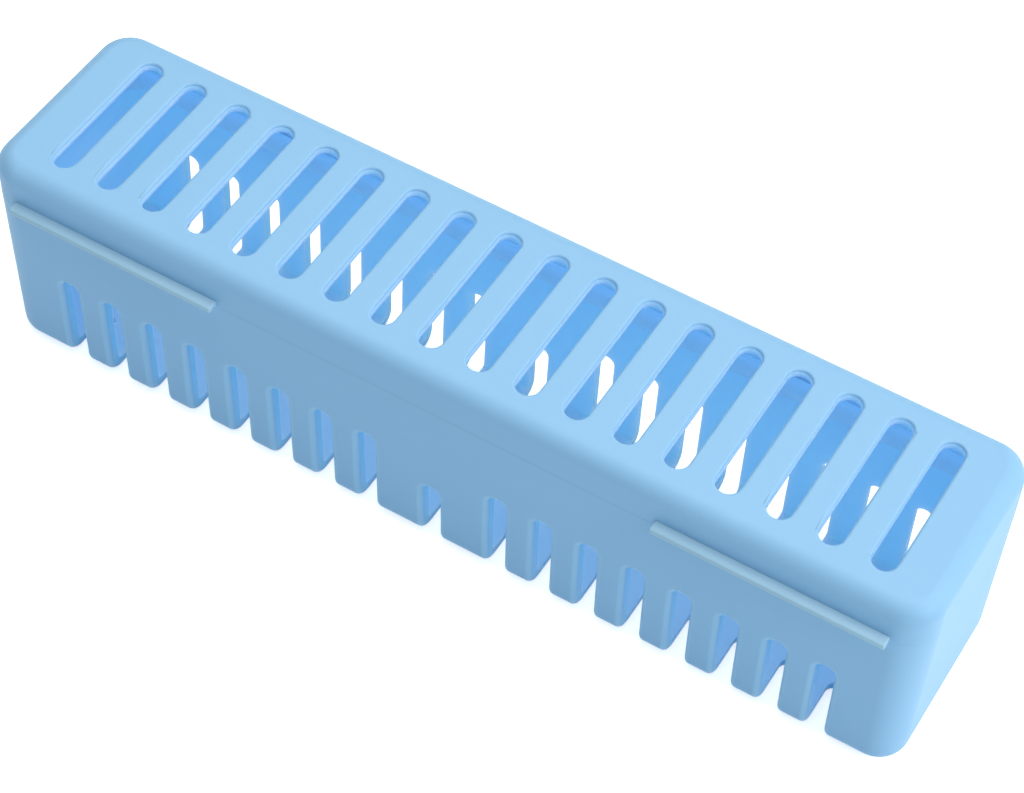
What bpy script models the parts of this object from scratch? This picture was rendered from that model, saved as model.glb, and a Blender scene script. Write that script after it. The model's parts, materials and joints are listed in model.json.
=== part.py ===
"""Slotted cryogenic storage box: a drafted comb-slotted tray with a hinged, slotted lid.

Metres, +Z up. The origin is the middle of the underside, +X runs along the box and the hinge is at +Y.
"""

import math

import bmesh
import bpy
from mathutils import Matrix, Vector

MM = 0.001

# Overall body
LENGTH = 147.0 * MM
WIDTH = 32.6 * MM
HEIGHT = 36.5 * MM
WALL = 2.0 * MM
FLOOR = 2.0 * MM
DRAFT_INSET = 0.5 * MM
CORNER_RADIUS = 5.0 * MM
BOTTOM_RADIUS = 2.6 * MM
INNER_BOTTOM_RADIUS = 1.2 * MM

# Lid
LID_DEPTH = 7.0 * MM
LID_WALL = 1.4 * MM
LID_THICKNESS = 1.3 * MM
TOP_RADIUS = 2.7 * MM
INNER_TOP_RADIUS = 1.1 * MM
LID_SLOT_COUNT = 18
LID_END_MARGIN = 9.75 * MM
LID_SIDE_MARGIN = 4.6 * MM
LID_SLOT_WIDTH = 3.5 * MM
LID_SLOT_PITCH = (LENGTH - 2 * LID_END_MARGIN) / (LID_SLOT_COUNT - 1)
LID_SLOT_LENGTH = WIDTH - 2 * LID_SIDE_MARGIN

# Finger lips on the lid's front rim
LIP_END_MARGIN = 5.0 * MM
LIP_LENGTH = 34.1 * MM
LIP_START = LENGTH / 2 - LIP_END_MARGIN - LIP_LENGTH
LIP_PROUD = 1.65 * MM
LIP_THICKNESS = 1.0 * MM
LIP_EDGE_ROUND = 0.3 * MM

# Comb slots in the tray's long walls
COMB_COUNT = 8
COMB_FIRST = 10.6 * MM
COMB_END_MARGIN = 12.5 * MM
COMB_PITCH = (LENGTH / 2 - COMB_END_MARGIN - COMB_FIRST) / (COMB_COUNT - 1)
COMB_WIDTH = 2.8 * MM
COMB_TOP = 17.2 * MM
CENTRE_SLOT_TOP = 12.2 * MM
FLOOR_SLOT_REACH = 8.5 * MM

# Seam and the locating rim that stands inside the lid
SEAM_GAP = 0.3 * MM
RIM_HEIGHT = 1.4 * MM
RIM_THICKNESS = 0.8 * MM
RIM_CLEARANCE = 0.3 * MM
BAND_HEIGHT = 3.0 * MM

# Hinge on the back
HINGE_END_MARGIN = 31.5 * MM
HINGE_STATION = LENGTH / 2 - HINGE_END_MARGIN
KNUCKLE_RADIUS = 1.35 * MM
KNUCKLE_CLEARANCE = 0.3 * MM
LID_KNUCKLE_WIDTH = 8.0 * MM
TRAY_EAR_WIDTH = 4.0 * MM
PIN_RADIUS = 0.6 * MM
PIN_CLEARANCE = 0.15 * MM
GUSSET_HEIGHT = 3.6 * MM
GUSSET_ROOT = 0.5 * MM

# Facets
CORNER_SEGMENTS = 6
EDGE_SEGMENTS = 4
SLOT_SEGMENTS = 8
ROUND_SIDES = 20

SEAM_Z = HEIGHT - LID_DEPTH
TRAY_TOP = SEAM_Z - SEAM_GAP / 2
LID_BOTTOM = SEAM_Z + SEAM_GAP / 2
AXIS_Y = WIDTH / 2 + KNUCKLE_RADIUS + KNUCKLE_CLEARANCE
CUT_PAST = 3.0 * MM

BLUE = (0.352, 0.603, 0.855, 1.0)
STEEL = (0.62, 0.64, 0.66, 1.0)


def clear_scene():
    """Remove every object that the file starts with."""
    for item in list(bpy.data.objects):
        bpy.data.objects.remove(item, do_unlink=True)


def new_collection(name):
    """Make a collection in the scene."""
    group = bpy.data.collections.new(name)
    bpy.context.scene.collection.children.link(group)
    return group


def plain_material(name, colour, roughness, metallic):
    """Make a Principled material of one colour."""
    material = bpy.data.materials.new(name)
    material.use_nodes = True
    shader = material.node_tree.nodes["Principled BSDF"]
    shader.inputs["Base Color"].default_value = colour
    shader.inputs["Roughness"].default_value = roughness
    shader.inputs["Metallic"].default_value = metallic
    return material


def object_from(bm, name, group):
    """Turn a bmesh into an object of a collection, with its faces turned out at millimetre scale."""
    bmesh.ops.scale(bm, vec=(1 / MM, 1 / MM, 1 / MM), verts=bm.verts)
    bmesh.ops.recalc_face_normals(bm, faces=bm.faces)
    bmesh.ops.scale(bm, vec=(MM, MM, MM), verts=bm.verts)
    mesh = bpy.data.meshes.new(name)
    bm.to_mesh(mesh)
    bm.free()
    item = bpy.data.objects.new(name, mesh)
    group.objects.link(item)
    return item


def add_block(bm, low, high):
    """Add a box between two corners and give its vertices."""
    made = bmesh.ops.create_cube(bm, size=1.0)["verts"]
    low, high = Vector(low), Vector(high)
    for vert in made:
        vert.co = Vector(lo + (c + 0.5) * (hi - lo) for c, lo, hi in zip(vert.co, low, high))
    return made


def edges_of(verts):
    """Give the edges that join a set of vertices."""
    chosen = set(verts)
    return {edge for vert in verts for edge in vert.link_edges if set(edge.verts) <= chosen}


def edges_along(verts, axis):
    """Give the edges of a block that run along one axis."""
    found = []
    for edge in edges_of(verts):
        run = edge.verts[0].co - edge.verts[1].co
        if abs(run[axis]) > 0.9 * run.length:
            found.append(edge)
    return found


def round_edges(bm, edges, radius, segments):
    """Round edges with a bevel."""
    bmesh.ops.bevel(bm, geom=edges, offset=radius, segments=segments, profile=0.5, affect="EDGES")


def level_edges(bm, height):
    """Give the edges that lie flat at one height."""
    return [edge for edge in bm.edges if all(abs(v.co.z - height) < 0.01 * MM for v in edge.verts)]


def body_shape(inset, low, high, corner, rounded_at, radius, draft=0.0):
    """Make a tub-shaped solid: round upright corners, one rounded end and drafted sides."""
    bm = bmesh.new()
    x, y = LENGTH / 2 - inset, WIDTH / 2 - inset
    verts = add_block(bm, (-x, -y, low), (x, y, high))
    round_edges(bm, edges_along(verts, 2), corner, CORNER_SEGMENTS)
    for vert in bm.verts:
        if vert.co.z < (low + high) / 2:
            vert.co.x *= (x - draft) / x
            vert.co.y *= (y - draft) / y
    round_edges(bm, level_edges(bm, rounded_at), radius, EDGE_SEGMENTS)
    return bm


def cut(item, cutter):
    """Take a cutter out of a piece."""
    modifier = item.modifiers.new("cut_" + cutter.name, "BOOLEAN")
    modifier.operation = "DIFFERENCE"
    modifier.object = cutter


def join(item, addition):
    """Join an added shape to a piece."""
    modifier = item.modifiers.new("join_" + addition.name, "BOOLEAN")
    modifier.operation = "UNION"
    modifier.object = addition


def guide(bm, name, group):
    """Make a hidden shape that only cuts or joins."""
    item = object_from(bm, name, group)
    item.hide_render = True
    item.display_type = "WIRE"
    return item


def comb_places():
    """Give the middle and the top of each comb slot along one long wall."""
    places = [(0.0, CENTRE_SLOT_TOP)]
    for number in range(COMB_COUNT):
        x = COMB_FIRST + number * COMB_PITCH
        places += [(x, COMB_TOP), (-x, COMB_TOP)]
    return places


def round_top_prism(bm, x, width, y_low, y_high, z_low, z_high):
    """Add an upright prism whose top is a half round across X."""
    verts = add_block(bm, (x - width / 2, y_low, z_low), (x + width / 2, y_high, z_high))
    top = [edge for edge in edges_along(verts, 1) if edge.verts[0].co.z > (z_low + z_high) / 2]
    round_edges(bm, top, 0.499 * width, SLOT_SEGMENTS)


def stadium_prism(bm, x, width, y_low, y_high, z_low, z_high):
    """Add an upright prism whose plan has two half-round ends along Y."""
    verts = add_block(bm, (x - width / 2, y_low, z_low), (x + width / 2, y_high, z_high))
    round_edges(bm, edges_along(verts, 2), 0.499 * width, SLOT_SEGMENTS)


def wall_slot_cutter(group):
    """Make the cutter for the comb slots in both long walls."""
    bm = bmesh.new()
    inner = WIDTH / 2 - WALL - DRAFT_INSET - INNER_BOTTOM_RADIUS
    outer = WIDTH / 2 + CUT_PAST
    for x, top in comb_places():
        round_top_prism(bm, x, COMB_WIDTH, inner, outer, -CUT_PAST, top)
        round_top_prism(bm, x, COMB_WIDTH, -outer, -inner, -CUT_PAST, top)
    return guide(bm, "comb_wall_cutter", group)


def floor_slot_cutter(group):
    """Make the cutter for the ends of the comb slots in the floor."""
    bm = bmesh.new()
    inner = WIDTH / 2 - FLOOR_SLOT_REACH
    outer = WIDTH / 2 + CUT_PAST
    top = FLOOR + INNER_BOTTOM_RADIUS
    for x, _ in comb_places():
        stadium_prism(bm, x, COMB_WIDTH, inner, outer, -CUT_PAST, top)
        stadium_prism(bm, x, COMB_WIDTH, -outer, -inner, -CUT_PAST, top)
    return guide(bm, "comb_floor_cutter", group)


def knuckle(bm, middle, width, toward):
    """Add a hinge knuckle with a gusset that runs up (toward 1) or down (toward -1) the back wall."""
    ends = []
    for x in (middle - width / 2, middle + width / 2):
        for step in range(ROUND_SIDES):
            turn = 2 * math.pi * step / ROUND_SIDES
            y = AXIS_Y + KNUCKLE_RADIUS * math.cos(turn)
            z = SEAM_Z + KNUCKLE_RADIUS * math.sin(turn)
            ends.append(bm.verts.new((x, y, z)))
        for y, low in ((WIDTH / 2, SEAM_GAP), (WIDTH / 2 - GUSSET_ROOT, GUSSET_HEIGHT / 2)):
            for rise in (low, GUSSET_HEIGHT):
                ends.append(bm.verts.new((x, y, SEAM_Z + toward * rise)))
    made = bmesh.ops.convex_hull(bm, input=ends)
    spare = {v for v in made["geom_interior"] + made["geom_unused"] if isinstance(v, bmesh.types.BMVert)}
    bmesh.ops.delete(bm, geom=list(spare), context="VERTS")


def pin_shape(bm, middle, radius, length):
    """Add a round bar along X on the hinge axis."""
    made = bmesh.ops.create_cone(
        bm, cap_ends=True, segments=ROUND_SIDES, radius1=radius, radius2=radius, depth=length
    )["verts"]
    for vert in made:
        vert.co = Vector((middle + vert.co.z, AXIS_Y + vert.co.x, SEAM_Z + vert.co.y))


def ear_middles(station):
    """Give the middles of the tray's two ears at a hinge station."""
    step = LID_KNUCKLE_WIDTH / 2 + KNUCKLE_CLEARANCE + TRAY_EAR_WIDTH / 2
    return (station - step, station + step)


def pin_length():
    """Give the length of a hinge pin, from the outside of one ear to that of the other."""
    return LID_KNUCKLE_WIDTH + 2 * (KNUCKLE_CLEARANCE + TRAY_EAR_WIDTH)


def bore_cutter(group):
    """Make the cutter for the hinge bores."""
    bm = bmesh.new()
    for station in (-HINGE_STATION, HINGE_STATION):
        pin_shape(bm, station, PIN_RADIUS + PIN_CLEARANCE, pin_length() + CUT_PAST)
    return guide(bm, "hinge_bore_cutter", group)


def make_tray(parts, tools, material, bores):
    """Model the tray: drafted tub, locating rim, comb slots and hinge ears."""
    tray = object_from(
        body_shape(0.0, 0.0, TRAY_TOP, CORNER_RADIUS, 0.0, BOTTOM_RADIUS, DRAFT_INSET), "base_tray", parts
    )
    rim_inset = LID_WALL + RIM_CLEARANCE
    rim_top = TRAY_TOP + RIM_HEIGHT
    rim = body_shape(
        rim_inset, TRAY_TOP - LID_DEPTH, rim_top, CORNER_RADIUS - rim_inset, rim_top, RIM_CLEARANCE
    )
    join(tray, guide(rim, "locating_rim", tools))
    ears = bmesh.new()
    for station in (-HINGE_STATION, HINGE_STATION):
        for middle in ear_middles(station):
            knuckle(ears, middle, TRAY_EAR_WIDTH, -1)
    join(tray, guide(ears, "tray_ears", tools))
    hollow = body_shape(
        WALL, FLOOR, TRAY_TOP - BAND_HEIGHT, CORNER_RADIUS - WALL, FLOOR, INNER_BOTTOM_RADIUS, DRAFT_INSET
    )
    cut(tray, guide(hollow, "tray_hollow", tools))
    mouth_inset = rim_inset + RIM_THICKNESS
    mouth = body_shape(
        mouth_inset, SEAM_Z / 2, HEIGHT, CORNER_RADIUS - mouth_inset, SEAM_Z / 2, INNER_BOTTOM_RADIUS
    )
    cut(tray, guide(mouth, "tray_mouth", tools))
    cut(tray, wall_slot_cutter(tools))
    cut(tray, floor_slot_cutter(tools))
    cut(tray, bores)
    tray.data.materials.append(material)
    return tray


def lip_shape(tools):
    """Make the two finger lips on the front rim."""
    bm = bmesh.new()
    for side in (-1, 1):
        near, far = sorted((side * LIP_START, side * (LIP_START + LIP_LENGTH)))
        low = (near, -WIDTH / 2 - LIP_PROUD, LID_BOTTOM)
        high = (far, -WIDTH / 2 + LID_WALL / 2, LID_BOTTOM + LIP_THICKNESS)
        verts = add_block(bm, low, high)
        front = [edge for edge in edges_along(verts, 0) if edge.verts[0].co.y < -WIDTH / 2]
        round_edges(bm, front, LIP_EDGE_ROUND, EDGE_SEGMENTS // 2)
    return guide(bm, "finger_lips", tools)


def lid_slot_cutter(tools):
    """Make the cutter for the row of cross slots."""
    bm = bmesh.new()
    for number in range(LID_SLOT_COUNT):
        x = (number - (LID_SLOT_COUNT - 1) / 2) * LID_SLOT_PITCH
        half = LID_SLOT_LENGTH / 2
        stadium_prism(bm, x, LID_SLOT_WIDTH, -half, half, HEIGHT - LID_DEPTH, HEIGHT + CUT_PAST)
    return guide(bm, "lid_slot_cutter", tools)


def make_lid(parts, tools, material, bores):
    """Model the lid: shallow rounded cover, finger lips, cross slots and hinge knuckles."""
    lid = object_from(
        body_shape(0.0, LID_BOTTOM, HEIGHT, CORNER_RADIUS, HEIGHT, TOP_RADIUS), "lid", parts
    )
    knuckles = bmesh.new()
    for station in (-HINGE_STATION, HINGE_STATION):
        knuckle(knuckles, station, LID_KNUCKLE_WIDTH, 1)
    join(lid, guide(knuckles, "lid_knuckles", tools))
    join(lid, lip_shape(tools))
    ceiling = HEIGHT - LID_THICKNESS
    hollow = body_shape(LID_WALL, 0.0, ceiling, CORNER_RADIUS - LID_WALL, ceiling, INNER_TOP_RADIUS)
    cut(lid, guide(hollow, "lid_hollow", tools))
    cut(lid, lid_slot_cutter(tools))
    cut(lid, bores)
    lid.data.materials.append(material)
    axis = bpy.data.objects.new("lid_hinge_axis", None)
    axis.location = (0.0, AXIS_Y, SEAM_Z)
    axis.empty_display_size = LID_DEPTH
    parts.objects.link(axis)
    lid.parent = axis
    lid.matrix_parent_inverse = Matrix.Translation(-Vector(axis.location))
    return lid


def make_pins(parts, material):
    """Model the two hinge pins."""
    for name, station in (("hinge_pin_left", -HINGE_STATION), ("hinge_pin_right", HINGE_STATION)):
        bm = bmesh.new()
        pin_shape(bm, station, PIN_RADIUS, pin_length())
        pin = object_from(bm, name, parts)
        pin.data.materials.append(material)


def main():
    """Build the whole box."""
    clear_scene()
    parts = new_collection("cryogenic_storage_box")
    tools = new_collection("cutters")
    blue = plain_material("blue_moulding", BLUE, 0.42, 0.0)
    steel = plain_material("pin_steel", STEEL, 0.3, 1.0)
    bores = bore_cutter(tools)
    make_tray(parts, tools, blue, bores)
    make_lid(parts, tools, blue, bores)
    make_pins(parts, steel)
    for item in parts.objects:
        if item.type != "MESH":
            continue
        item.data.shade_smooth()
        item.data.set_sharp_from_angle(angle=math.radians(35.0))


main()
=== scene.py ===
"""Studio view of a slotted cryogenic storage box with a hinged, slotted lid.

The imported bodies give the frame. The tray and the lid are rebuilt over them as smooth moulded shells with
rounded slot edges. Shapes are worked in millimetres and turned into metres when a piece is finished.
"""

from __future__ import annotations

import json
import logging
import math
from dataclasses import dataclass, replace
from enum import Enum
from typing import Any, Iterable

import bmesh  # noqa: E402
import bpy  # noqa: E402
from mathutils import Matrix, Vector  # noqa: E402
from mathutils.geometry import delaunay_2d_cdt, tessellate_polygon  # noqa: E402

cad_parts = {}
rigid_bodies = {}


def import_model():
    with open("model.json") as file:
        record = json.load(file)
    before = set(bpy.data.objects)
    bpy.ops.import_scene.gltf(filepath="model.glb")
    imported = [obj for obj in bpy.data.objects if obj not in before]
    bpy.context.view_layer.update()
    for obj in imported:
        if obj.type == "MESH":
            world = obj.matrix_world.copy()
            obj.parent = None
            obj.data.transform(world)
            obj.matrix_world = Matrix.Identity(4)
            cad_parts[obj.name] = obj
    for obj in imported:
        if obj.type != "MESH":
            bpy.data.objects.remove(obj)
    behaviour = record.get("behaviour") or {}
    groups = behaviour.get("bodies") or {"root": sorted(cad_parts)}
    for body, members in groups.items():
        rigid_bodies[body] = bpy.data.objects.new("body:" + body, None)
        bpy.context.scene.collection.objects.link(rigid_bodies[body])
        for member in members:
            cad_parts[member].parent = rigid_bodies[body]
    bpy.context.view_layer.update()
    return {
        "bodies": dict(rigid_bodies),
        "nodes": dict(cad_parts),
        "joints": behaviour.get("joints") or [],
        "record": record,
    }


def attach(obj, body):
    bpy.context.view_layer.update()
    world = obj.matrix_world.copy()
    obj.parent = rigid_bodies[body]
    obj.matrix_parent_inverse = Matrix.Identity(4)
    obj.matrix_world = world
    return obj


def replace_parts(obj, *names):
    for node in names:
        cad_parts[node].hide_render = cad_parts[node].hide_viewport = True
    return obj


LOG = logging.getLogger("storage_box")
MM = 0.001
CLOSE = 1e-4  # millimetres within which two places count as the same
WELD = 0.002  # millimetres within which the points of adjoining faces are merged

Point2 = tuple[float, float]
Point3 = tuple[float, float, float]
Colour = tuple[float, float, float]
Finish = tuple[bpy.types.Material, ...]

WHITE = (1.0, 1.0, 1.0)


class Body(str, Enum):
    """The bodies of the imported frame."""

    TRAY = "tray"
    COVER = "cover"


class Slot(str, Enum):
    """The record's material slot of the moulded pieces."""

    BLUE = "blue_moulding"


class Face(Enum):
    """The two long faces of the box, as the sign of their Y."""

    FRONT = -1.0
    BACK = 1.0


class Place(int, Enum):
    """The places of a shell's finishes."""

    OUTSIDE = 0
    INSIDE = 1
    SLOT_WALLS = 2
    SLOT_EDGES = 3


class Toward(float, Enum):
    """The way that a hinge knuckle's gusset runs from the seam."""

    LID = 1.0
    TRAY = -1.0


@dataclass(frozen=True)
class BoxSizes:
    """The sizes that the tray, the lid and the hinge share, in millimetres."""

    length: float = 147.0
    width: float = 32.6
    height: float = 36.5
    wall: float = 2.0
    lid_wall: float = 1.4
    corner: float = 5.0
    lid_depth: float = 7.0
    seam_gap: float = 0.3
    seam_line: float = 0.025
    hinge_station: float = 42.0
    knuckle_radius: float = 1.35
    knuckle_clearance: float = 0.3
    lid_knuckle_width: float = 8.0
    tray_ear_width: float = 4.0
    bore_radius: float = 0.75
    gusset_height: float = 3.6
    gusset_root: float = 0.5

    @property
    def half_length(self) -> float:
        """Half the length of the body."""
        return self.length / 2

    @property
    def half_width(self) -> float:
        """Half the width of the body, without lips and hinge."""
        return self.width / 2

    @property
    def seam(self) -> float:
        """The height of the middle of the seam."""
        return self.height - self.lid_depth

    @property
    def tray_top(self) -> float:
        """The height of the tray's outer rim."""
        return self.seam - self.seam_line / 2

    @property
    def lid_bottom(self) -> float:
        """The height of the lid's lower rim."""
        return self.seam + self.seam_line / 2

    @property
    def axis_y(self) -> float:
        """The Y of the hinge axis."""
        return self.half_width + self.knuckle_radius + self.knuckle_clearance


@dataclass(frozen=True)
class BlueMoulding:
    """Satin light-blue moulded plastic that lets a little light through, with an optional painted glow."""

    name: str
    colour: Colour = (0.322, 0.595, 0.875)
    deep_colour: Colour = (0.312, 0.585, 0.865)
    roughness: Point2 = (0.42, 0.50)
    ior: float = 1.49
    specular: float = 0.25
    mottle_scale: float = 60.0
    grain_scale: float = 2600.0
    grain_strength: float = 0.05
    grain_depth: float = 0.00005
    subsurface: float = 0.15
    subsurface_depth: float = 0.0015
    subsurface_radius: Colour = (0.7, 0.9, 1.0)
    # painted light: an emission that makes the surface glow although it is no lamp
    painted_glow: float = 0.0
    painted_glow_colour: Colour = (0.28, 0.57, 1.0)

    def material(self) -> bpy.types.Material:
        """Build the moulding as a Principled material.

        Returns:
            The finished material.
        """
        kit = MaterialKit(self.name)
        grain = kit.grain(self.mottle_scale, self.grain_scale)
        mottle = grain.outputs["Mottle"]
        kit.link(colour_mix(kit.tree, mottle, self.colour, self.deep_colour), "Base Color")
        kit.link(kit.span(mottle, *self.roughness), "Roughness")
        kit.bump(grain.outputs["Height"], self.grain_strength, self.grain_depth)
        kit.plain("Subsurface Weight", self.subsurface)
        kit.plain("Subsurface Radius", self.subsurface_radius)
        kit.plain("Subsurface Scale", self.subsurface_depth)
        kit.plain("IOR", self.ior)
        kit.plain("Specular IOR Level", self.specular)
        # The painted glow: light that the surface gives off although it is no lamp.
        kit.plain("Emission Color", (*self.painted_glow_colour, 1.0))
        kit.plain("Emission Strength", self.painted_glow)
        return kit.material


SHELL = BlueMoulding("blue_moulding_shell")
# The inside copy is painted light: a paler colour and a glow stand in for light coming through the walls onto the
# inner faces.
INSIDE = BlueMoulding(
    "blue_moulding_inside", (0.50, 0.74, 0.985), (0.48, 0.73, 0.98),
    specular=0.15, subsurface=1.0, subsurface_depth=0.005, painted_glow=0.115,
)
MOULDINGS = (
    SHELL,
    INSIDE,
    # The slot walls' copy is painted light: a brighter colour and a faint glow.
    replace(INSIDE, name="blue_moulding_comb", colour=(0.33, 0.67, 0.98), deep_colour=(0.32, 0.66, 0.97), painted_glow=0.03),
    # The roundings' copy is paler: a painted highlight where the slot edges catch the lamp.
    replace(SHELL, name="blue_moulding_edges", colour=(0.35, 0.635, 0.89), deep_colour=(0.34, 0.625, 0.88)),
    # The rim's copy glows harder: painted light that lifts the shade inside the lid.
    replace(INSIDE, name="blue_moulding_rim", painted_glow=0.21, painted_glow_colour=(0.24, 0.62, 1.0)),
    # The lips' copy is paler: painted light for the light that comes through the thin lips.
    replace(SHELL, name="blue_moulding_thin", colour=(0.40, 0.63, 0.79), deep_colour=(0.385, 0.615, 0.78)),
)


@dataclass(frozen=True)
class DrawnSteel:
    """Plain drawn stainless wire."""

    name: str = "drawn_pin_steel"
    colour: Colour = (0.62, 0.64, 0.66)
    dull_colour: Colour = (0.50, 0.52, 0.54)
    roughness: Point2 = (0.22, 0.38)
    mottle_scale: float = 900.0
    grain_scale: float = 5000.0

    def material(self) -> bpy.types.Material:
        """Build the steel as a Principled material.

        Returns:
            The finished material.
        """
        kit = MaterialKit(self.name)
        grain = kit.grain(self.mottle_scale, self.grain_scale)
        kit.link(colour_mix(kit.tree, grain.outputs["Mottle"], self.colour, self.dull_colour), "Base Color")
        kit.link(kit.span(grain.outputs["Height"], *self.roughness), "Roughness")
        kit.plain("Metallic", 1.0)
        return kit.material


@dataclass(frozen=True)
class StudioPaper:
    """White paper that reads as white to the camera and still takes the box's shadow."""

    name: str = "studio_paper"
    colour: Colour = (0.74, 0.84, 0.90)
    bright_share: float = 1.02
    roughness: float = 0.9
    mottle_scale: float = 8.0
    grain_scale: float = 700.0
    lift: float = 0.7

    def material(self) -> bpy.types.Material:
        """Build the paper.

        Returns:
            The finished material.
        """
        kit = MaterialKit(self.name)
        grain = kit.grain(self.mottle_scale, self.grain_scale)
        bright = tuple(min(1.0, part * self.bright_share) for part in self.colour)
        kit.link(colour_mix(kit.tree, grain.outputs["Mottle"], self.colour, bright), "Base Color")
        kit.plain("Roughness", self.roughness)
        kit.plain("Specular IOR Level", 0.0)
        path = kit.tree.nodes.new("ShaderNodeLightPath")
        seen = math_node(kit.tree, "MAXIMUM", path.outputs["Is Camera Ray"], path.outputs["Is Glossy Ray"])
        kit.plain("Emission Color", (*WHITE, 1.0))
        kit.link(math_node(kit.tree, "MULTIPLY", seen, self.lift), "Emission Strength")
        return kit.material


class MaterialKit:
    """Small helpers that wire one Principled material."""

    def __init__(self, name: str) -> None:
        """Start an empty material with its Principled shader.

        Args:
            name: The material's name.
        """
        self.material = bpy.data.materials.new(name)
        self.material.use_nodes = True
        self.tree = self.material.node_tree
        self.shader = self.tree.nodes["Principled BSDF"]

    def plain(self, socket: str, value: Any) -> None:
        """Set a value that is the same all over the surface."""
        self.shader.inputs[socket].default_value = value

    def link(self, output: bpy.types.NodeSocket, socket: str) -> None:
        """Feed a socket of the shader."""
        self.tree.links.new(output, self.shader.inputs[socket])

    def grain(self, mottle_scale: float, grain_scale: float) -> bpy.types.Node:
        """Place the shared grain with this material's own scales.

        Args:
            mottle_scale: The scale of the slow mottle.
            grain_scale: The scale of the fine grain.

        Returns:
            The placed node, fed with Object coordinates.
        """
        node = self.tree.nodes.new("ShaderNodeGroup")
        node.node_tree = surface_grain()
        node.inputs["Mottle Scale"].default_value = mottle_scale
        node.inputs["Grain Scale"].default_value = grain_scale
        place = self.tree.nodes.new("ShaderNodeTexCoord")
        self.tree.links.new(place.outputs["Object"], node.inputs["Place"])
        return node

    def span(self, factor: bpy.types.NodeSocket, low: float, high: float) -> bpy.types.NodeSocket:
        """Spread a mask between two values.

        Args:
            factor: A mask from 0 to 1.
            low: The value where the mask is 0.
            high: The value where the mask is 1.

        Returns:
            The spread value.
        """
        spread = self.tree.nodes.new("ShaderNodeMapRange")
        spread.inputs["To Min"].default_value = low
        spread.inputs["To Max"].default_value = high
        self.tree.links.new(factor, spread.inputs["Value"])
        return spread.outputs["Result"]

    def bump(self, height: bpy.types.NodeSocket, strength: float, distance: float) -> None:
        """Roughen the surface's normal with a height.

        Args:
            height: The socket that gives the height.
            strength: How much of the effect is used.
            distance: The depth of the roughness in metres.
        """
        node = self.tree.nodes.new("ShaderNodeBump")
        node.inputs["Strength"].default_value = strength
        node.inputs["Distance"].default_value = distance
        self.tree.links.new(height, node.inputs["Height"])
        self.link(node.outputs["Normal"], "Normal")


def math_node(tree: bpy.types.NodeTree, operation: str, first: Any, second: Any) -> bpy.types.NodeSocket:
    """Place a Math node.

    Args:
        tree: The shader or geometry nodes that it joins.
        operation: The node's operation.
        first: A socket or a number.
        second: A socket or a number.

    Returns:
        The node's result.
    """
    node = tree.nodes.new("ShaderNodeMath")
    node.operation = operation
    for socket, value in zip(node.inputs, (first, second)):
        if isinstance(value, bpy.types.NodeSocket):
            tree.links.new(value, socket)
        else:
            socket.default_value = value
    return node.outputs["Value"]


def colour_mix(
    tree: bpy.types.NodeTree, mask: bpy.types.NodeSocket, first: Colour, second: Colour
) -> bpy.types.NodeSocket:
    """Place a Mix node on two colours.

    Args:
        tree: The shader nodes that it joins.
        mask: A mask from 0 to 1.
        first: The colour where the mask is 0.
        second: The colour where the mask is 1.

    Returns:
        The mixed colour.
    """
    # The node's sockets for numbers, vectors and colours share their names, so they are told apart by number.
    factor, colour_a, colour_b, result = 0, 6, 7, 2
    node = tree.nodes.new("ShaderNodeMix")
    node.data_type = "RGBA"
    node.inputs[colour_a].default_value = (*first, 1.0)
    node.inputs[colour_b].default_value = (*second, 1.0)
    tree.links.new(mask, node.inputs[factor])
    return node.outputs[result]


def surface_grain() -> bpy.types.NodeTree:
    """Give the shared effect of a slow mottle and a fine grain, made on its first use.

    Returns:
        The shader node group.
    """
    name = "surface_grain"
    if name in bpy.data.node_groups:
        return bpy.data.node_groups[name]
    tree = bpy.data.node_groups.new(name, "ShaderNodeTree")
    tree.interface.new_socket("Place", in_out="INPUT", socket_type="NodeSocketVector")
    for scale in ("Mottle Scale", "Grain Scale"):
        tree.interface.new_socket(scale, in_out="INPUT", socket_type="NodeSocketFloat")
    for result in ("Mottle", "Height"):
        tree.interface.new_socket(result, in_out="OUTPUT", socket_type="NodeSocketFloat")
    inlet = tree.nodes.new("NodeGroupInput")
    outlet = tree.nodes.new("NodeGroupOutput")
    for scale, result, detail in (("Mottle Scale", "Mottle", 2.0), ("Grain Scale", "Height", 3.0)):
        noise = tree.nodes.new("ShaderNodeTexNoise")
        noise.inputs["Detail"].default_value = detail
        tree.links.new(inlet.outputs["Place"], noise.inputs["Vector"])
        tree.links.new(inlet.outputs[scale], noise.inputs["Scale"])
        tree.links.new(noise.outputs["Fac"], outlet.inputs[result])
    return tree


def placed(name: str, data: bpy.types.ID) -> bpy.types.Object:
    """Put a mesh, curve, lamp or camera in a new object of the scene.

    Args:
        name: The object's name.
        data: What the object shows.

    Returns:
        The object.
    """
    item = bpy.data.objects.new(name, data)
    bpy.context.scene.collection.objects.link(item)
    return item


def mesh_object(name: str, bm: bmesh.types.BMesh) -> bpy.types.Object:
    """Put a bmesh in a new object of the scene.

    Args:
        name: The object's name.
        bm: The shape, which is freed.

    Returns:
        The object.
    """
    mesh = bpy.data.meshes.new(name)
    bm.to_mesh(mesh)
    bm.free()
    return placed(name, mesh)


def evaluated_mesh(item: bpy.types.Object) -> bpy.types.Mesh:
    """Give the plain mesh that an object's curve or modifiers make.

    Args:
        item: The object, which stays as it is.

    Returns:
        A new mesh.
    """
    bpy.context.view_layer.update()
    graph = bpy.context.evaluated_depsgraph_get()
    return bpy.data.meshes.new_from_object(item.evaluated_get(graph), depsgraph=graph)


def settle(item: bpy.types.Object) -> bpy.types.Object:
    """Turn an object with modifiers into a plain mesh in metres at the origin.

    Args:
        item: The object in millimetres, which is removed.

    Returns:
        The finished object of the same name.
    """
    name = item.name
    mesh = evaluated_mesh(item)
    mesh.transform(Matrix.Scale(MM, 4))
    bpy.data.objects.remove(item, do_unlink=True)
    mesh.name = name
    return placed(name, mesh)


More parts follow.
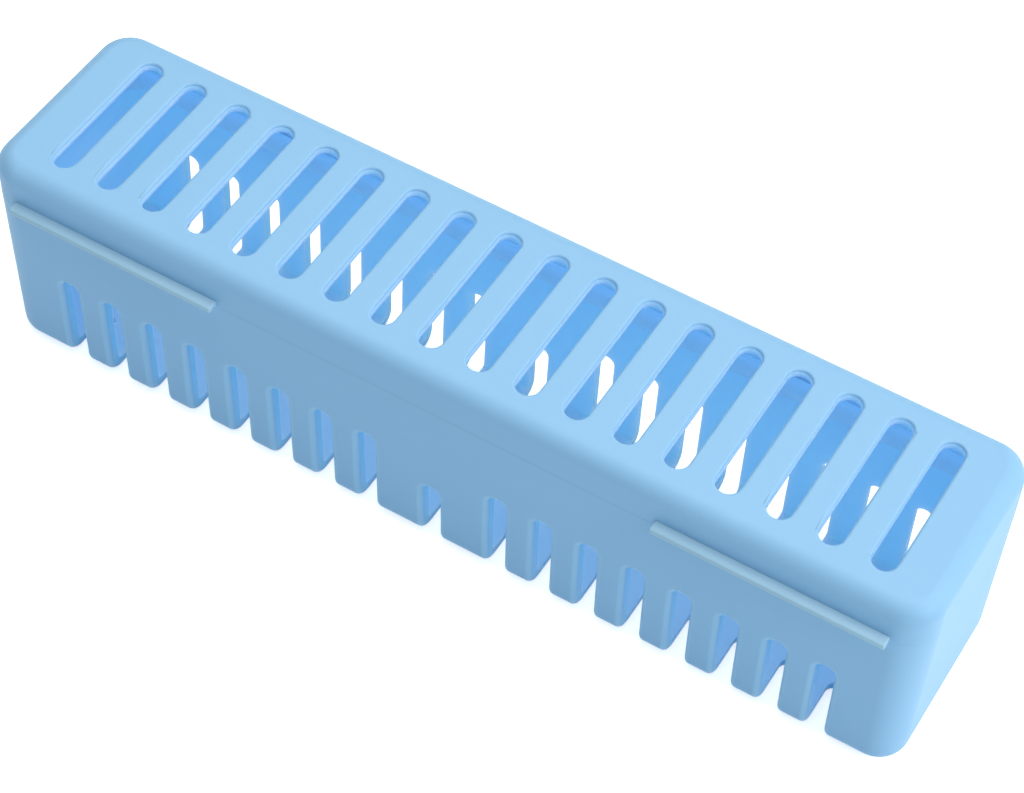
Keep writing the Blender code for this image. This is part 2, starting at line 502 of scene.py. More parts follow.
def thicken(item: bpy.types.Object, wall: float) -> None:
    """Give an open skin its wall, with crisp inner edges.

    Args:
        item: The skin, facing out.
        wall: The wall's thickness.
    """
    solid = item.modifiers.new("wall", "SOLIDIFY")
    solid.thickness = wall
    solid.offset = -1.0
    solid.use_even_offset = True
    solid.use_quality_normals = True
    # The inner faces and the slot walls take the copies of the moulding that carry painted light.
    solid.material_offset = Place.INSIDE
    solid.material_offset_rim = Place.SLOT_WALLS
    mesh = evaluated_mesh(item)
    item.modifiers.remove(solid)
    bm = bmesh.new()
    bm.from_mesh(mesh)
    weight = bm.edges.layers.float["bevel_weight_edge"]
    for edge in bm.edges:
        if edge[weight] and all(face.material_index != Place.OUTSIDE for face in edge.link_faces):
            edge[weight] = 0.0
            edge.smooth = False
    bm.to_mesh(mesh)
    bm.free()
    item.data = mesh


def soften(item: bpy.types.Object, edge_round: float, edge_finish: Place) -> None:
    """Round a shell's marked edges.

    Args:
        item: The shell.
        edge_round: The radius of the slots' outer edges.
        edge_finish: The place of the roundings' finish among the shell's.
    """
    facets, flat_face_weight = 6, 60
    bevel = item.modifiers.new("soft_edges", "BEVEL")
    bevel.width = edge_round
    bevel.segments = facets
    bevel.limit_method = "WEIGHT"
    bevel.use_clamp_overlap = False
    bevel.miter_outer = "MITER_SHARP"
    bevel.material = edge_finish
    normals = item.modifiers.new("flat_faces", "WEIGHTED_NORMAL")
    normals.weight = flat_face_weight
    normals.keep_sharp = True


def smooth_faces(item: bpy.types.Object, crease: float) -> None:
    """Shade a piece smooth, with its sharp edges kept.

    Args:
        item: The piece.
        crease: The angle in degrees past which an edge is sharp.
    """
    item.data.shade_smooth()
    item.data.set_sharp_from_angle(angle=math.radians(crease))


def shell_of(skin: bpy.types.Object, finish: Finish, wall: float, edge_round: float, edges: Place) -> bpy.types.Object:
    """Turn an open skin into a finished shell.

    Args:
        skin: The skin in millimetres, facing out, which is removed.
        finish: The shell's materials, in the order of Place.
        wall: The wall's thickness.
        edge_round: The radius of the slots' outer edges.
        edges: The place of the roundings' finish.

    Returns:
        The shell, which has no body yet.
    """
    for material in finish:
        skin.data.materials.append(material)
    skin.data.shade_smooth()
    thicken(skin, wall)
    soften(skin, edge_round, edges)
    return settle(skin)


def mark_edges(bm: bmesh.types.BMesh, rim_height: float, rim_share: float) -> None:
    """Say how far each open edge of a skin is rounded.

    Args:
        bm: The skin in millimetres.
        rim_height: The height of the seam's rim, which stays crisp.
        rim_share: The rim's share of the slots' rounding.
    """
    weight = bm.edges.layers.float.new("bevel_weight_edge")
    for edge in bm.edges:
        if edge.is_boundary:
            on_rim = all(abs(vert.co.z - rim_height) < CLOSE for vert in edge.verts)
            edge[weight] = rim_share if on_rim else 1.0


def dress(item: bpy.types.Object, finish: Finish, body: Body) -> bpy.types.Object:
    """Give a finished piece its materials and its body.

    Args:
        item: The piece.
        finish: Its materials, in the order of Place.
        body: The body that it rides on.

    Returns:
        The piece.
    """
    places = [polygon.material_index for polygon in item.data.polygons]
    item.data.materials.clear()
    for material in finish:
        item.data.materials.append(material)
    item.data.polygons.foreach_set("material_index", [min(place, len(finish) - 1) for place in places])
    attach(item, body.value)
    LOG.info("%s rides on %s with %d faces", item.name, body.value, len(item.data.polygons))
    return item


def stadium(centre: float, width: float, low: float, high: float, steps: int) -> list[Point2]:
    """Trace a slot with two half-round ends.

    Args:
        centre: The slot's middle across its run.
        width: The slot's width.
        low: Where the slot starts along its run.
        high: Where it ends.
        steps: The facets of each half round.

    Returns:
        The outline, counter-clockwise.
    """
    radius = width / 2
    points: list[Point2] = []
    for middle, start in ((low + radius, math.pi), (high - radius, 0.0)):
        for step in range(steps + 1):
            turn = start + math.pi * step / steps
            points.append((centre + radius * math.cos(turn), middle + radius * math.sin(turn)))
    return points


def in_stadium(point: Point2, centre: float, width: float, low: float, high: float) -> bool:
    """Tell whether a point lies inside a slot."""
    near = min(max(point[1], low + width / 2), high - width / 2)
    return math.hypot(point[0] - centre, point[1] - near) < width / 2


def outline_ring(sizes: BoxSizes, inset: float, steps: int) -> list[Point2]:
    """Trace the box's plan, drawn in by an inset, counter-clockwise from the front's right end.

    Args:
        sizes: The box.
        inset: How far inside the outer face the ring lies.
        steps: The facets of each corner.

    Returns:
        The ring's points.
    """
    radius = max(sizes.corner - inset, 0.0)
    x = sizes.half_length - max(sizes.corner, inset)
    y = sizes.half_width - max(sizes.corner, inset)
    ring: list[Point2] = []
    for corner, (sx, sy) in enumerate(((1, -1), (1, 1), (-1, 1), (-1, -1))):
        for step in range(steps + 1):
            turn = math.pi / 2 * (corner - 1 + step / steps)
            ring.append((sx * x + radius * math.cos(turn), sy * y + radius * math.sin(turn)))
    return ring


def hinge_circle(sizes: BoxSizes, radius: float, steps: int) -> list[Point2]:
    """Trace a circle round the hinge axis in the Y-Z plane.

    Args:
        sizes: The box.
        radius: The circle's radius.
        steps: The facets of the full turn.

    Returns:
        The circle's points, counter-clockwise.
    """
    angles = [2 * math.pi * step / steps for step in range(steps)]
    return [(sizes.axis_y + radius * math.cos(turn), sizes.seam + radius * math.sin(turn)) for turn in angles]


def knuckle_outline(sizes: BoxSizes, toward: Toward, steps: int) -> list[Point2]:
    """Trace a hinge knuckle and its gusset in the Y-Z plane.

    Args:
        sizes: The box.
        toward: Whether the gusset runs up the lid or down the tray.
        steps: The facets of a full turn.

    Returns:
        The outline, counter-clockwise.
    """
    face, root = sizes.half_width, sizes.half_width - sizes.gusset_root
    reach = toward * sizes.gusset_height
    gusset = [
        (face, sizes.seam + toward * sizes.seam_gap),
        (root, sizes.seam + reach / 2),
        (root, sizes.seam + reach),
        (face, sizes.seam + reach),
    ]
    return hull(gusset + hinge_circle(sizes, sizes.knuckle_radius, steps))


def hull(points: Iterable[Point2]) -> list[Point2]:
    """Give the convex outline round a set of points.

    Args:
        points: The points in any order.

    Returns:
        The outline, counter-clockwise.
    """
    ordered = sorted(set(points))

    def half(run: Iterable[Point2]) -> list[Point2]:
        """Walk one side of the outline.

        Args:
            run: The points in the order of the walk.

        Returns:
            The points kept, without the last.
        """
        kept: list[Point2] = []
        for point in run:
            while len(kept) > 1 and turns(kept[-2], kept[-1], point) <= 0:
                kept.pop()
            kept.append(point)
        return kept[:-1]

    return half(ordered) + half(reversed(ordered))


def turns(a: Point2, b: Point2, c: Point2) -> float:
    """Give the turn of three points, positive to the left."""
    return (b[0] - a[0]) * (c[1] - a[1]) - (b[1] - a[1]) * (c[0] - a[0])


def knuckles(name: str, sizes: BoxSizes, toward: Toward, places: Iterable[Point2]) -> bpy.types.Object:
    """Make bored hinge knuckles as filled outlines with softened edges.

    Args:
        name: The piece's name.
        sizes: The box.
        toward: Whether they are the lid's knuckles or the tray's ears.
        places: The middle and width of each knuckle along the hinge.

    Returns:
        The finished piece.
    """
    edge_round, edge_facets, crease = 0.15, 2, 32.0
    outline_steps, bore_steps = 48, 32
    edge = knuckle_outline(sizes, toward, outline_steps)
    bore = hinge_circle(sizes, sizes.bore_radius, bore_steps)
    whole = bmesh.new()
    for middle, width in places:
        curve = bpy.data.curves.new(name, "CURVE")
        curve.dimensions = "2D"
        curve.fill_mode = "BOTH"
        curve.extrude = width / 2 - edge_round
        curve.bevel_depth = edge_round
        curve.bevel_resolution = edge_facets
        curve.offset = -edge_round
        for loop in (edge, bore):
            spline = curve.splines.new("POLY")
            spline.points.add(len(loop) - 1)
            for point, (y, z) in zip(spline.points, loop):
                point.co = (y, z, 0.0, 1.0)
            spline.use_cyclic_u = True
        item = placed(name + "_outline", curve)
        mesh = evaluated_mesh(item)
        # The curve's own X, Y and Z become the box's Y, Z and X.
        mesh.transform(Matrix(((0, 0, 1, middle), (1, 0, 0, 0), (0, 1, 0, 0), (0, 0, 0, 1))))
        whole.from_mesh(mesh)
        bpy.data.objects.remove(item, do_unlink=True)
    bmesh.ops.remove_doubles(whole, verts=whole.verts, dist=CLOSE)
    bmesh.ops.recalc_face_normals(whole, faces=whole.faces)
    made = mesh_object(name, whole)
    smooth_faces(made, crease)
    return settle(made)


@dataclass
class Tray:
    """The drafted tray with comb slots that wrap round its bottom edges.

    A run is a distance along the outer face: from the rim down the wall, round the bottom edge and in along the floor.
    """

    sizes: BoxSizes
    draft: float = 0.5
    bottom_radius: float = 2.6
    comb_count: int = 8
    comb_first: float = 10.6
    comb_pitch: float = 7.2
    comb_width: float = 2.75
    comb_top: float = 16.95
    centre_top: float = 12.0
    floor_reach: float = 8.5
    edge_round: float = 0.85
    rim_round_share: float = 0.06
    border: float = 1.5
    row_margin: float = 0.4
    rim_height: float = 1.4
    rim_thickness: float = 0.8
    rim_clearance: float = 0.3
    rim_chamfer: float = 0.2
    rim_root: float = 0.25
    rim_root_drop: float = 0.15
    rim_crease: float = 50.0
    band_height: float = 3.0
    band_sink: float = 0.3
    band_slope: Point2 = (0.6, 0.5)
    corner_steps: int = 10
    bend_steps: int = 10
    slot_steps: int = 14

    @property
    def wall_run(self) -> float:
        """The run from the rim down to where the bottom edge starts to round."""
        return self.sizes.tray_top - self.bottom_radius

    @property
    def bend_inset(self) -> float:
        """The inset of the outer face where the bottom edge starts to round."""
        return self.draft * (1 - self.bottom_radius / self.sizes.tray_top)

    @property
    def bend_run(self) -> float:
        """The run round the bottom edge."""
        return self.bottom_radius * math.pi / 2

    @property
    def slot_end(self) -> float:
        """The run at which the comb slots end in the floor."""
        return self.wall_run + self.bend_run + self.floor_reach - self.bend_inset - self.bottom_radius

    def section(self, run: float) -> Point2:
        """Follow the outer face from the rim down and in along the floor.

        Args:
            run: The distance from the rim.

        Returns:
            The inset from the outermost face and the height.
        """
        if run <= self.wall_run:
            return self.draft * run / self.sizes.tray_top, self.sizes.tray_top - run
        turn = (run - self.wall_run) / self.bottom_radius
        if turn <= math.pi / 2:
            inset = self.bend_inset + self.bottom_radius * (1 - math.cos(turn))
            return inset, self.bottom_radius * (1 - math.sin(turn))
        return self.bend_inset + self.bottom_radius + run - self.wall_run - self.bend_run, 0.0

    def slots(self) -> list[Point2]:
        """Set out the comb slots of a long wall.

        Returns:
            Each slot's middle along X and the run at its top, from left to right.
        """
        found = [(0.0, self.sizes.tray_top - self.centre_top)]
        for number in range(self.comb_count):
            x = self.comb_first + number * self.comb_pitch
            run = self.sizes.tray_top - self.comb_top
            found += [(x, run), (-x, run)]
        return sorted(found)

    def rows(self) -> list[float]:
        """Set out the rows of edges that go all round the skin.

        Returns:
            The run of each row, from the rim down and in.
        """
        top = self.sizes.tray_top - self.comb_top
        centre_top = self.sizes.tray_top - self.centre_top
        half = self.comb_width / 2
        margin = self.border + self.row_margin
        rows = [0.0, top / 2, top - margin, top + half, centre_top + half]
        rows += [self.wall_run + self.bend_run * step / self.bend_steps for step in range(self.bend_steps + 1)]
        return rows + [self.slot_end - half, self.slot_end + margin]

    def long_face(self, bm: bmesh.types.BMesh, face: Face) -> None:
        """Add a long wall with its comb, laid out flat and then bent round the bottom edge.

        Args:
            bm: The skin so far.
            face: The front or the back.
        """
        keep_faces, merge = 4, 1e-5
        sizes, rows, slots = self.sizes, self.rows(), self.slots()
        reach = sizes.half_length - sizes.corner
        points: list[Vector] = []
        edges: list[tuple[int, int]] = []

        def trace(loop: list[Point2], closed: bool) -> None:
            """Add a chain of edges to the flat layout.

            Args:
                loop: The points of the chain.
                closed: Whether its last point joins its first.
            """
            first = len(points)
            points.extend(Vector(point) for point in loop)
            edges.extend((first + step, first + step + 1) for step in range(len(loop) - 1))
            if closed:
                edges.append((first + len(loop) - 1, first))

        for run in rows:
            trace([(-reach, run), (reach, run)], False)
        for x in (-reach, reach):
            trace([(x, rows[0]), (x, rows[-1])], False)
        for (left, _), (right, _) in zip(slots, slots[1:]):
            trace([((left + right) / 2, rows[0]), ((left + right) / 2, rows[-1])], False)
        edge = self.border
        for x, top in slots:
            first = len(points)
            trace(stadium(x, self.comb_width, top, self.slot_end, self.slot_steps), True)
            second = len(points)
            wide = self.comb_width + 2 * edge
            trace(stadium(x, wide, top - edge, self.slot_end + edge, self.slot_steps), True)
            edges.extend((first + step, second + step) for step in range(second - first))
        flat, _, faces, _, _, _ = delaunay_2d_cdt(points, edges, [], keep_faces, merge, False)
        verts = []
        for point in flat:
            inset, z = self.section(point.y)
            limit = sizes.half_length - max(inset, sizes.corner)
            x = max(min(point.x, limit), -limit)
            verts.append(bm.verts.new((x, face.value * (sizes.half_width - inset), z)))
        for corners in faces:
            ring = [flat[index].to_3d() for index in corners]
            chosen = tessellate_polygon([ring])[0]
            middle = sum((ring[index] for index in chosen), Vector()) / 3
            here = (middle.x, middle.y)
            if any(in_stadium(here, x, self.comb_width, top, self.slot_end) for x, top in slots):
                continue
            bm.faces.new([verts[index] for index in corners])
        bmesh.ops.delete(bm, geom=[v for v in verts if not v.link_faces], context="VERTS")

    def end_face(self, bm: bmesh.types.BMesh, side: float) -> None:
        """Add a plain end with its two round corners.

        Args:
            bm: The skin so far.
            side: 1 for the right end, -1 for the left.
        """
        steps = self.corner_steps
        grid = []
        for run in self.rows():
            inset, z = self.section(run)
            # The ring's first two corners are those of the right end.
            ring = outline_ring(self.sizes, inset, steps)[: 2 * (steps + 1)]
            grid.append([bm.verts.new((side * x, y, z)) for x, y in ring])
        for upper, lower in zip(grid, grid[1:]):
            for step in range(len(upper) - 1):
                bm.faces.new((upper[step], upper[step + 1], lower[step + 1], lower[step]))

    def skin(self) -> bpy.types.Object:
        """Make the tray's open outer skin.

        Returns:
            The skin in millimetres.
        """
        bm = bmesh.new()
        for face in Face:
            self.long_face(bm, face)
        for side in (-1.0, 1.0):
            self.end_face(bm, side)
        bmesh.ops.remove_doubles(bm, verts=bm.verts, dist=WELD)
        bmesh.ops.dissolve_degenerate(bm, edges=bm.edges, dist=CLOSE)
        inset = self.section(self.rows()[-1])[0]
        x, y = self.sizes.half_length - inset, self.sizes.half_width - inset
        strip_margin = 5 * WELD

        def on_strip(vert: bmesh.types.BMVert) -> bool:
            """Tell whether a point lies on the edge of the floor's solid strip."""
            near = min(abs(abs(vert.co.x) - x), abs(abs(vert.co.y) - y))
            return abs(vert.co.z) < CLOSE and near < strip_margin

        strip = [edge for edge in bm.edges if edge.is_boundary and all(map(on_strip, edge.verts))]
        bmesh.ops.contextual_create(bm, geom=strip)
        bmesh.ops.recalc_face_normals(bm, faces=bm.faces)
        if sum(f.normal.z for f in bm.faces if abs(f.calc_center_median().z) < CLOSE) > 0:
            bmesh.ops.reverse_faces(bm, faces=bm.faces)
        mark_edges(bm, self.sizes.tray_top, self.rim_round_share)
        return mesh_object("tray_shell", bm)

    def shell(self, finish: Finish) -> bpy.types.Object:
        """Make the tray itself, which stands for the solid tray.

        Args:
            finish: Its materials.

        Returns:
            The finished piece.
        """
        # The slot roundings take the paler copy at Place.SLOT_EDGES, a painted highlight.
        item = shell_of(self.skin(), finish, self.sizes.wall, self.edge_round, Place.SLOT_EDGES)
        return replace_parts(dress(item, finish, Body.TRAY), "base_tray")

    def locating_rim(self, finish: Finish) -> bpy.types.Object:
        """Make the inner band and the low rim that stands up inside the lid.

        Args:
            finish: Its materials.

        Returns:
            The finished piece.
        """
        top, chamfer = self.sizes.tray_top, self.rim_chamfer
        band, crown = top - self.band_height, top + self.rim_height
        near = self.sizes.lid_wall + self.rim_clearance
        far, root = near + self.rim_thickness, near - self.rim_root
        below, above = self.band_slope
        profile = [
            (self.sizes.wall - self.band_sink, band - below),
            (far, band + above),
            (far, crown - chamfer),
            (far - chamfer, crown),
            (near + chamfer, crown),
            (near, crown - chamfer),
            (near, top - self.rim_root_drop),
            (root, top - self.rim_root_drop),
            (root, band),
        ]
        bm = bmesh.new()
        rings = []
        for inset, z in profile:
            ring = outline_ring(self.sizes, inset, self.corner_steps)
            rings.append([bm.verts.new((x, y, z)) for x, y in ring])
        for number, ring in enumerate(rings):
            following = rings[(number + 1) % len(rings)]
            for step in range(len(ring)):
                after = (step + 1) % len(ring)
                bm.faces.new((ring[step], ring[after], following[after], following[step]))
        bmesh.ops.recalc_face_normals(bm, faces=bm.faces)
        item = mesh_object("tray_locating_rim", bm)
        smooth_faces(item, self.rim_crease)
        return dress(settle(item), finish, Body.TRAY)

    def ears(self, finish: Finish) -> bpy.types.Object:
        """Make the four hinge ears on the back.

        Args:
            finish: Their materials.

        Returns:
            The finished piece.
        """
        sizes = self.sizes
        step = sizes.lid_knuckle_width / 2 + sizes.knuckle_clearance + sizes.tray_ear_width / 2
        stations = (-sizes.hinge_station, sizes.hinge_station)
        places = [(station + side * step, sizes.tray_ear_width) for station in stations for side in (-1, 1)]
        return dress(knuckles("tray_ears", sizes, Toward.TRAY, places), finish, Body.TRAY)


@dataclass
class Lid:
    """The shallow cover with its row of cross slots and two finger lips."""

    sizes: BoxSizes
    top_radius: float = 2.7
    slot_count: int = 18
    slot_pitch: float = 7.5
    slot_length: float = 23.4
    slot_width: float = 3.5
    slot_end_share: float = 0.4995
    edge_round: float = 0.4
    rim_round_share: float = 0.1
    rim_margin: Point2 = (3.0, 1.5)
    lip_start: float = 34.4
    lip_length: float = 34.1
    lip_proud: float = 1.65
    lip_thickness: float = 1.0
    lip_round: float = 0.25
    lip_facets: int = 4
    lip_crease: float = 40.0
    round_steps: int = 10
    slot_steps: int = 14

    def plate_tree(self) -> bpy.types.NodeTree:
        """Build the node tree that lays out the flat top with its row of slots.

        Returns:
            The geometry node group, with named inputs for its sizes.
        """
        tree = bpy.data.node_groups.new("slotted_plate", "GeometryNodeTree")
        for name in ("Length", "Width", "Corner", "Pitch", "Slot Length", "Slot Width"):
            tree.interface.new_socket(name, in_out="INPUT", socket_type="NodeSocketFloat")
        for name in ("Slots", "Slot Facets", "Corner Facets"):
            tree.interface.new_socket(name, in_out="INPUT", socket_type="NodeSocketInt")
        tree.interface.new_socket("Finish", in_out="INPUT", socket_type="NodeSocketMaterial")
        tree.interface.new_socket("Geometry", in_out="OUTPUT", socket_type="NodeSocketGeometry")
        inlet = tree.nodes.new("NodeGroupInput")
        outlet = tree.nodes.new("NodeGroupOutput")

        def rounded(
            wide: bpy.types.NodeSocket,
            deep: bpy.types.NodeSocket,
            radius: bpy.types.NodeSocket,
            facets: bpy.types.NodeSocket,
        ) -> bpy.types.NodeSocket:
            """Place a rectangle with rounded corners.

            Args:
                wide: The socket of its size along X.
                deep: The socket of its size along Y.
                radius: The socket of the corners' radius.
                facets: The socket of the facets of each corner.

            Returns:
                The closed curve.
            """
            shape = tree.nodes.new("GeometryNodeCurvePrimitiveQuadrilateral")
            tree.links.new(wide, shape.inputs["Width"])
            tree.links.new(deep, shape.inputs["Height"])
            fillet = tree.nodes.new("GeometryNodeFilletCurve")
            fillet.mode = "POLY"
            tree.links.new(shape.outputs["Curve"], fillet.inputs["Curve"])
            tree.links.new(radius, fillet.inputs["Radius"])
            tree.links.new(facets, fillet.inputs["Count"])
            return fillet.outputs["Curve"]

        sockets = inlet.outputs
        edge = rounded(sockets["Length"], sockets["Width"], sockets["Corner"], sockets["Corner Facets"])
        radius = math_node(tree, "MULTIPLY", sockets["Slot Width"], self.slot_end_share)
        slot = rounded(sockets["Slot Width"], sockets["Slot Length"], radius, sockets["Slot Facets"])
        line = tree.nodes.new("GeometryNodeMeshLine")
        tree.links.new(sockets["Slots"], line.inputs["Count"])
        step = tree.nodes.new("ShaderNodeCombineXYZ")
        tree.links.new(sockets["Pitch"], step.inputs["X"])
        tree.links.new(step.outputs["Vector"], line.inputs["Offset"])
        start = tree.nodes.new("ShaderNodeCombineXYZ")
        gaps = math_node(tree, "SUBTRACT", sockets["Slots"], 1.0)
        reach = math_node(tree, "MULTIPLY", gaps, sockets["Pitch"])
        tree.links.new(math_node(tree, "MULTIPLY", reach, -0.5), start.inputs["X"])
        tree.links.new(start.outputs["Vector"], line.inputs["Start Location"])
        row = tree.nodes.new("GeometryNodeInstanceOnPoints")
        tree.links.new(line.outputs["Mesh"], row.inputs["Points"])
        tree.links.new(slot, row.inputs["Instance"])
        joined = tree.nodes.new("GeometryNodeJoinGeometry")
        tree.links.new(row.outputs["Instances"], joined.inputs["Geometry"])
        tree.links.new(edge, joined.inputs["Geometry"])
        real = tree.nodes.new("GeometryNodeRealizeInstances")
        tree.links.new(joined.outputs["Geometry"], real.inputs["Geometry"])
        fill = tree.nodes.new("GeometryNodeFillCurve")
        fill.mode = "NGONS"
        tree.links.new(real.outputs["Geometry"], fill.inputs["Curve"])
        finish = tree.nodes.new("GeometryNodeSetMaterial")
        tree.links.new(fill.outputs["Mesh"], finish.inputs["Geometry"])
        tree.links.new(sockets["Finish"], finish.inputs["Material"])
        tree.links.new(finish.outputs["Geometry"], outlet.inputs["Geometry"])
        return tree

    def plate(self, material: bpy.types.Material) -> bmesh.types.BMesh:
        """Lay out the flat top of the lid.

        Args:
            material: The lid's finish.

        Returns:
            The plate in millimetres at its height.
        """
        tree = self.plate_tree()
        carrier = placed("slotted_plate", bpy.data.meshes.new("slotted_plate"))
        modifier = carrier.modifiers.new("slotted_plate", "NODES")
        modifier.node_group = tree
        values = {
            "Length": self.sizes.length - 2 * self.top_radius,
            "Width": self.sizes.width - 2 * self.top_radius,
            "Corner": self.sizes.corner - self.top_radius,
            "Pitch": self.slot_pitch,
            "Slot Length": self.slot_length,
            "Slot Width": self.slot_width,
            "Slots": self.slot_count,
            "Slot Facets": self.slot_steps,
            "Corner Facets": self.round_steps,
            "Finish": material,
        }
        for socket in tree.interface.items_tree:
            if socket.in_out == "INPUT":
                modifier[socket.identifier] = values[socket.name]
        mesh = evaluated_mesh(carrier)
        bpy.data.objects.remove(carrier, do_unlink=True)
        bm = bmesh.new()
        bm.from_mesh(mesh)
        bmesh.ops.remove_doubles(bm, verts=bm.verts, dist=WELD)
        for vert in bm.verts:
            vert.co.z = self.sizes.height
        return bm

    def outward(self, point: Vector) -> Vector:
        """Find the way out of the plan at a point of the flat top's edge.

        Args:
            point: A point on the edge.

        Returns:
            The unit vector away from the box, level with the top.
        """
        x = self.sizes.half_length - self.sizes.corner
        y = self.sizes.half_width - self.sizes.corner
        away = (point.x - max(min(point.x, x), -x), point.y - max(min(point.y, y), -y), 0.0)
        return Vector(away).normalized()

    def skin(self, material: bpy.types.Material) -> bpy.types.Object:
        """Make the lid's open outer skin.

        Args:
            material: The lid's finish.

        Returns:
            The skin in millimetres.
        """
        bm = self.plate(material)
        inner_x = self.sizes.half_length - self.top_radius - self.rim_margin[0]
        inner_y = self.sizes.half_width - self.top_radius - self.rim_margin[1]
        rim = [
            edge for edge in bm.edges
            if edge.is_boundary and all(abs(v.co.x) > inner_x or abs(v.co.y) > inner_y for v in edge.verts)
        ]
        ways = {vert: self.outward(vert.co) for edge in rim for vert in edge.verts}
        start = {vert: vert.co.copy() for vert in ways}
        angles = [math.pi / 2 * step / self.round_steps for step in range(1, self.round_steps + 1)]
        drops = [(math.sin(turn) * self.top_radius, (1 - math.cos(turn)) * self.top_radius) for turn in angles]
        drops.append((self.top_radius, self.sizes.height - self.sizes.lid_bottom))
        for out, down in drops:
            made = bmesh.ops.extrude_edge_only(bm, edges=rim)["geom"]
            rim = [part for part in made if isinstance(part, bmesh.types.BMEdge) and part.is_boundary]
            above = {}
            for vert in (part for part in made if isinstance(part, bmesh.types.BMVert)):
                others = (edge.other_vert(vert) for edge in vert.link_edges)
                above[vert] = next(other for other in others if other in ways)
            ways = {vert: ways[old] for vert, old in above.items()}
            start = {vert: start[old] for vert, old in above.items()}
            for vert in above:
                vert.co = start[vert] + ways[vert] * out - Vector((0.0, 0.0, down))
        bmesh.ops.recalc_face_normals(bm, faces=bm.faces)
        if sum(f.normal.z * f.calc_area() for f in bm.faces) < 0:
            bmesh.ops.reverse_faces(bm, faces=bm.faces)
        mark_edges(bm, self.sizes.lid_bottom, self.rim_round_share)
        return mesh_object("lid_shell", bm)

    def shell(self, finish: Finish) -> bpy.types.Object:
        """Make the lid itself, which stands for the solid lid.

        Args:
            finish: Its materials.

        Returns:
            The finished piece.
        """
        item = shell_of(self.skin(finish[0]), finish, self.sizes.lid_wall, self.edge_round, Place.OUTSIDE)
        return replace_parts(dress(item, finish, Body.COVER), "lid")

    def lips(self, finish: Finish) -> bpy.types.Object:
        """Make the two finger lips on the front rim.

        Args:
            finish: Their materials.

        Returns:
            The finished piece.
        """
        bm = bmesh.new()
        front = self.sizes.half_width
        for side in (-1.0, 1.0):
            low_x, high_x = sorted((side * self.lip_start, side * (self.lip_start + self.lip_length)))
            low = Vector((low_x, -front - self.lip_proud, self.sizes.lid_bottom))
            high = Vector((high_x, -front + self.sizes.lid_wall / 2, self.sizes.lid_bottom + self.lip_thickness))
            verts = bmesh.ops.create_cube(bm, size=1.0)["verts"]
            for vert in verts:
                vert.co = Vector(a + (part + 0.5) * (b - a) for part, a, b in zip(vert.co, low, high))
            edges = {edge for vert in verts for edge in vert.link_edges}
            proud = [edge for edge in edges if any(vert.co.y < -front for vert in edge.verts)]
            bmesh.ops.bevel(
                bm, geom=proud, offset=self.lip_round, segments=self.lip_facets, profile=0.5, affect="EDGES"
            )
        item = mesh_object("lid_finger_lips", bm)
        smooth_faces(item, self.lip_crease)
        return dress(settle(item), finish, Body.COVER)

    def knuckles(self, finish: Finish) -> bpy.types.Object:
        """Make the two hinge knuckles on the back.

        Args:
            finish: Their materials.

        Returns:
            The finished piece.
        """
        sizes = self.sizes
        places = [(side * sizes.hinge_station, sizes.lid_knuckle_width) for side in (-1, 1)]
        return dress(knuckles("lid_knuckles", sizes, Toward.LID, places), finish, Body.COVER)


@dataclass
class HingePins:
    """The two steel pins, which keep their solid shapes."""

    nodes: tuple[str, ...] = ("hinge_pin_left", "hinge_pin_right")

    def dress(self, frame: dict[str, Any], material: bpy.types.Material) -> None:
        """Give the pins their steel.

        Args:
            frame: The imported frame.
            material: The steel.
        """
        for name in self.nodes:
            item = frame["nodes"][name]
            item.data.materials.clear()
            item.data.materials.append(material)
            LOG.info("%s keeps its solid shape", name)


@dataclass(frozen=True)
class Softbox:
    """A square soft lamp that faces the box."""

    name: str
    power: float
    place: Point3
    size: float
    colour: Colour = (1.0, 0.96, 0.92)
    target: Point3 = (0.0, 0.0, 0.02)

    def build(self) -> None:
        """Hang the lamp."""
        lamp = bpy.data.lights.new(self.name, "AREA")
        lamp.shape = "SQUARE"
        lamp.size = self.size
        lamp.energy = self.power
        lamp.color = self.colour
        item = placed(self.name, lamp)
        item.location = self.place
        aim = Vector(self.target) - Vector(self.place)
        item.rotation_euler = aim.to_track_quat("-Z", "Y").to_euler()


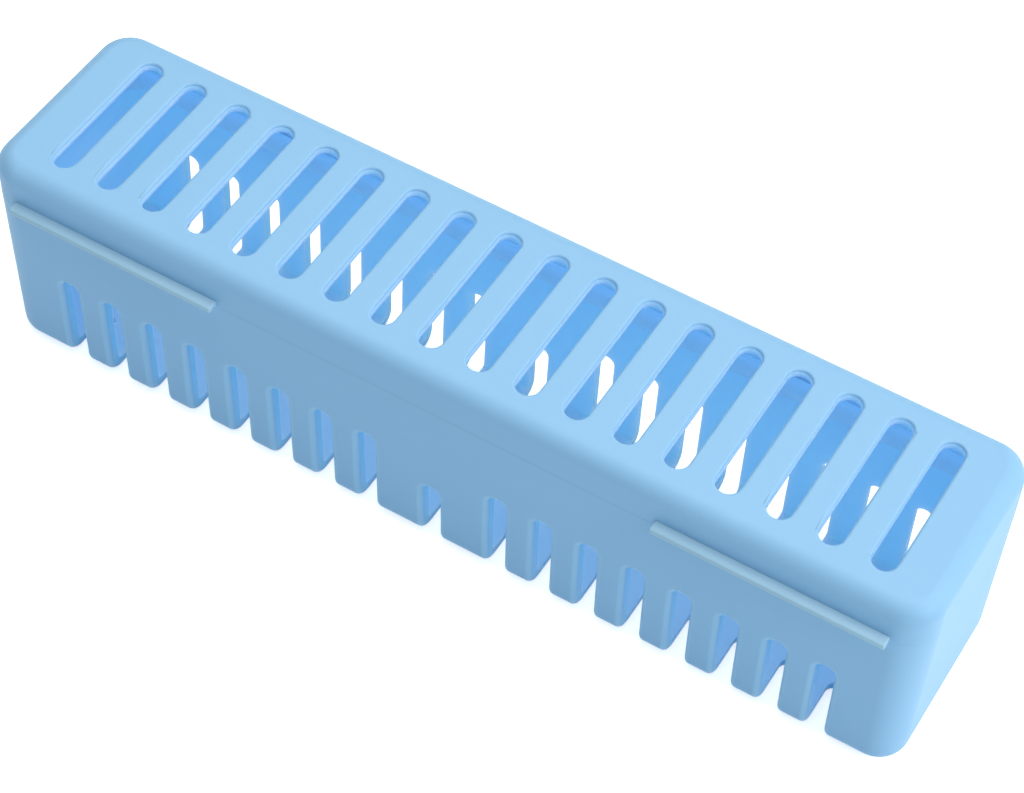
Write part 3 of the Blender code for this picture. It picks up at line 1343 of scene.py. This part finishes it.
@dataclass
class Studio:
    """The pale floor, the soft light and the camera, whose station is in slot pitches from the lid's middle."""

    sizes: BoxSizes
    slot_pitch: float = 7.5
    focal_px: float = 2758.2
    image_width: float = 1024.0
    image_height: float = 793.0
    principal: Point2 = (574.49, 414.36)
    sensor: float = 36.0
    clip: Point2 = (0.01, 20.0)
    station: Point3 = (15.87336, -27.94631, 37.72604)
    right: Point3 = (0.862459, 0.503813, 0.048352)
    forward: Point3 = (-0.278203, 0.551705, -0.786272)
    floor_reach: float = 3.0
    floor_cells: int = 8
    floor_drop: float = 0.0002
    sky: float = 0.30
    sky_colour: Colour = (0.78, 0.93, 1.0)
    softboxes: tuple[Softbox, ...] = (
        Softbox("key", power=4.0, place=(0.78, -0.07, 0.5), size=0.5),
        Softbox("overhead", power=7.6, place=(0.0, 0.2, 1.0), size=1.0),
    )

    def camera(self) -> None:
        """Set the camera at the fitted viewpoint."""
        data = bpy.data.cameras.new("view")
        data.sensor_fit = "HORIZONTAL"
        data.sensor_width = self.sensor
        data.lens = self.focal_px * self.sensor / self.image_width
        data.shift_x = (self.image_width / 2 - self.principal[0]) / self.image_width
        data.shift_y = (self.principal[1] - self.image_height / 2) / self.image_width
        data.clip_start, data.clip_end = self.clip
        item = placed("view", data)
        right = Vector(self.right).normalized()
        back = -Vector(self.forward)
        back = (back - right * back.dot(right)).normalized()
        up = back.cross(right)
        place = Vector(self.station) * self.slot_pitch + Vector((0.0, 0.0, self.sizes.height))
        turn = Matrix((right, up, back)).transposed().to_4x4()
        item.matrix_world = Matrix.Translation(place * MM) @ turn
        bpy.context.scene.camera = item

    def floor(self) -> None:
        """Lay the paper under the box."""
        bm = bmesh.new()
        cells = self.floor_cells
        bmesh.ops.create_grid(bm, x_segments=cells, y_segments=cells, size=self.floor_reach)
        item = mesh_object("floor", bm)
        item.location.z = -self.floor_drop
        item.data.materials.append(StudioPaper().material())

    def lights(self) -> None:
        """Set the sky, which is white to the camera, and hang the soft lamps."""
        world = bpy.data.worlds.new("studio")
        world.use_nodes = True
        tree = world.node_tree
        path = tree.nodes.new("ShaderNodeLightPath")
        sky = tuple(self.sky * part for part in self.sky_colour)
        backdrop = colour_mix(tree, path.outputs["Is Camera Ray"], sky, WHITE)
        tree.links.new(backdrop, tree.nodes["Background"].inputs["Color"])
        bpy.context.scene.world = world
        for softbox in self.softboxes:
            softbox.build()

    def build(self) -> None:
        """Set up everything that isn't the box."""
        self.camera()
        self.floor()
        self.lights()
        bpy.context.scene.view_settings.view_transform = "Standard"


def main() -> None:
    """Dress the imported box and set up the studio."""
    logging.basicConfig(level=logging.INFO, format="%(name)s: %(message)s")
    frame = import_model()
    sizes = BoxSizes()
    # Only the outside moulding is plain. The inside, slot-wall and rim copies carry painted light as a glow; the
    # edges' copy is a painted highlight; the lips' copy is painted paler as painted light.
    outside, inside, comb, edges, rim, lips_painted_light = (moulding.material() for moulding in MOULDINGS)
    tray = Tray(sizes)
    tray.shell((outside, inside, comb, edges))
    tray.locating_rim((rim,))
    tray.ears((outside,))
    lid = Lid(sizes)
    lid.shell((outside, inside))
    lid.lips((lips_painted_light,))
    lid.knuckles((outside,))
    HingePins().dress(frame, DrawnSteel().material())
    Studio(sizes).build()


if __name__ == "__main__":
    main()
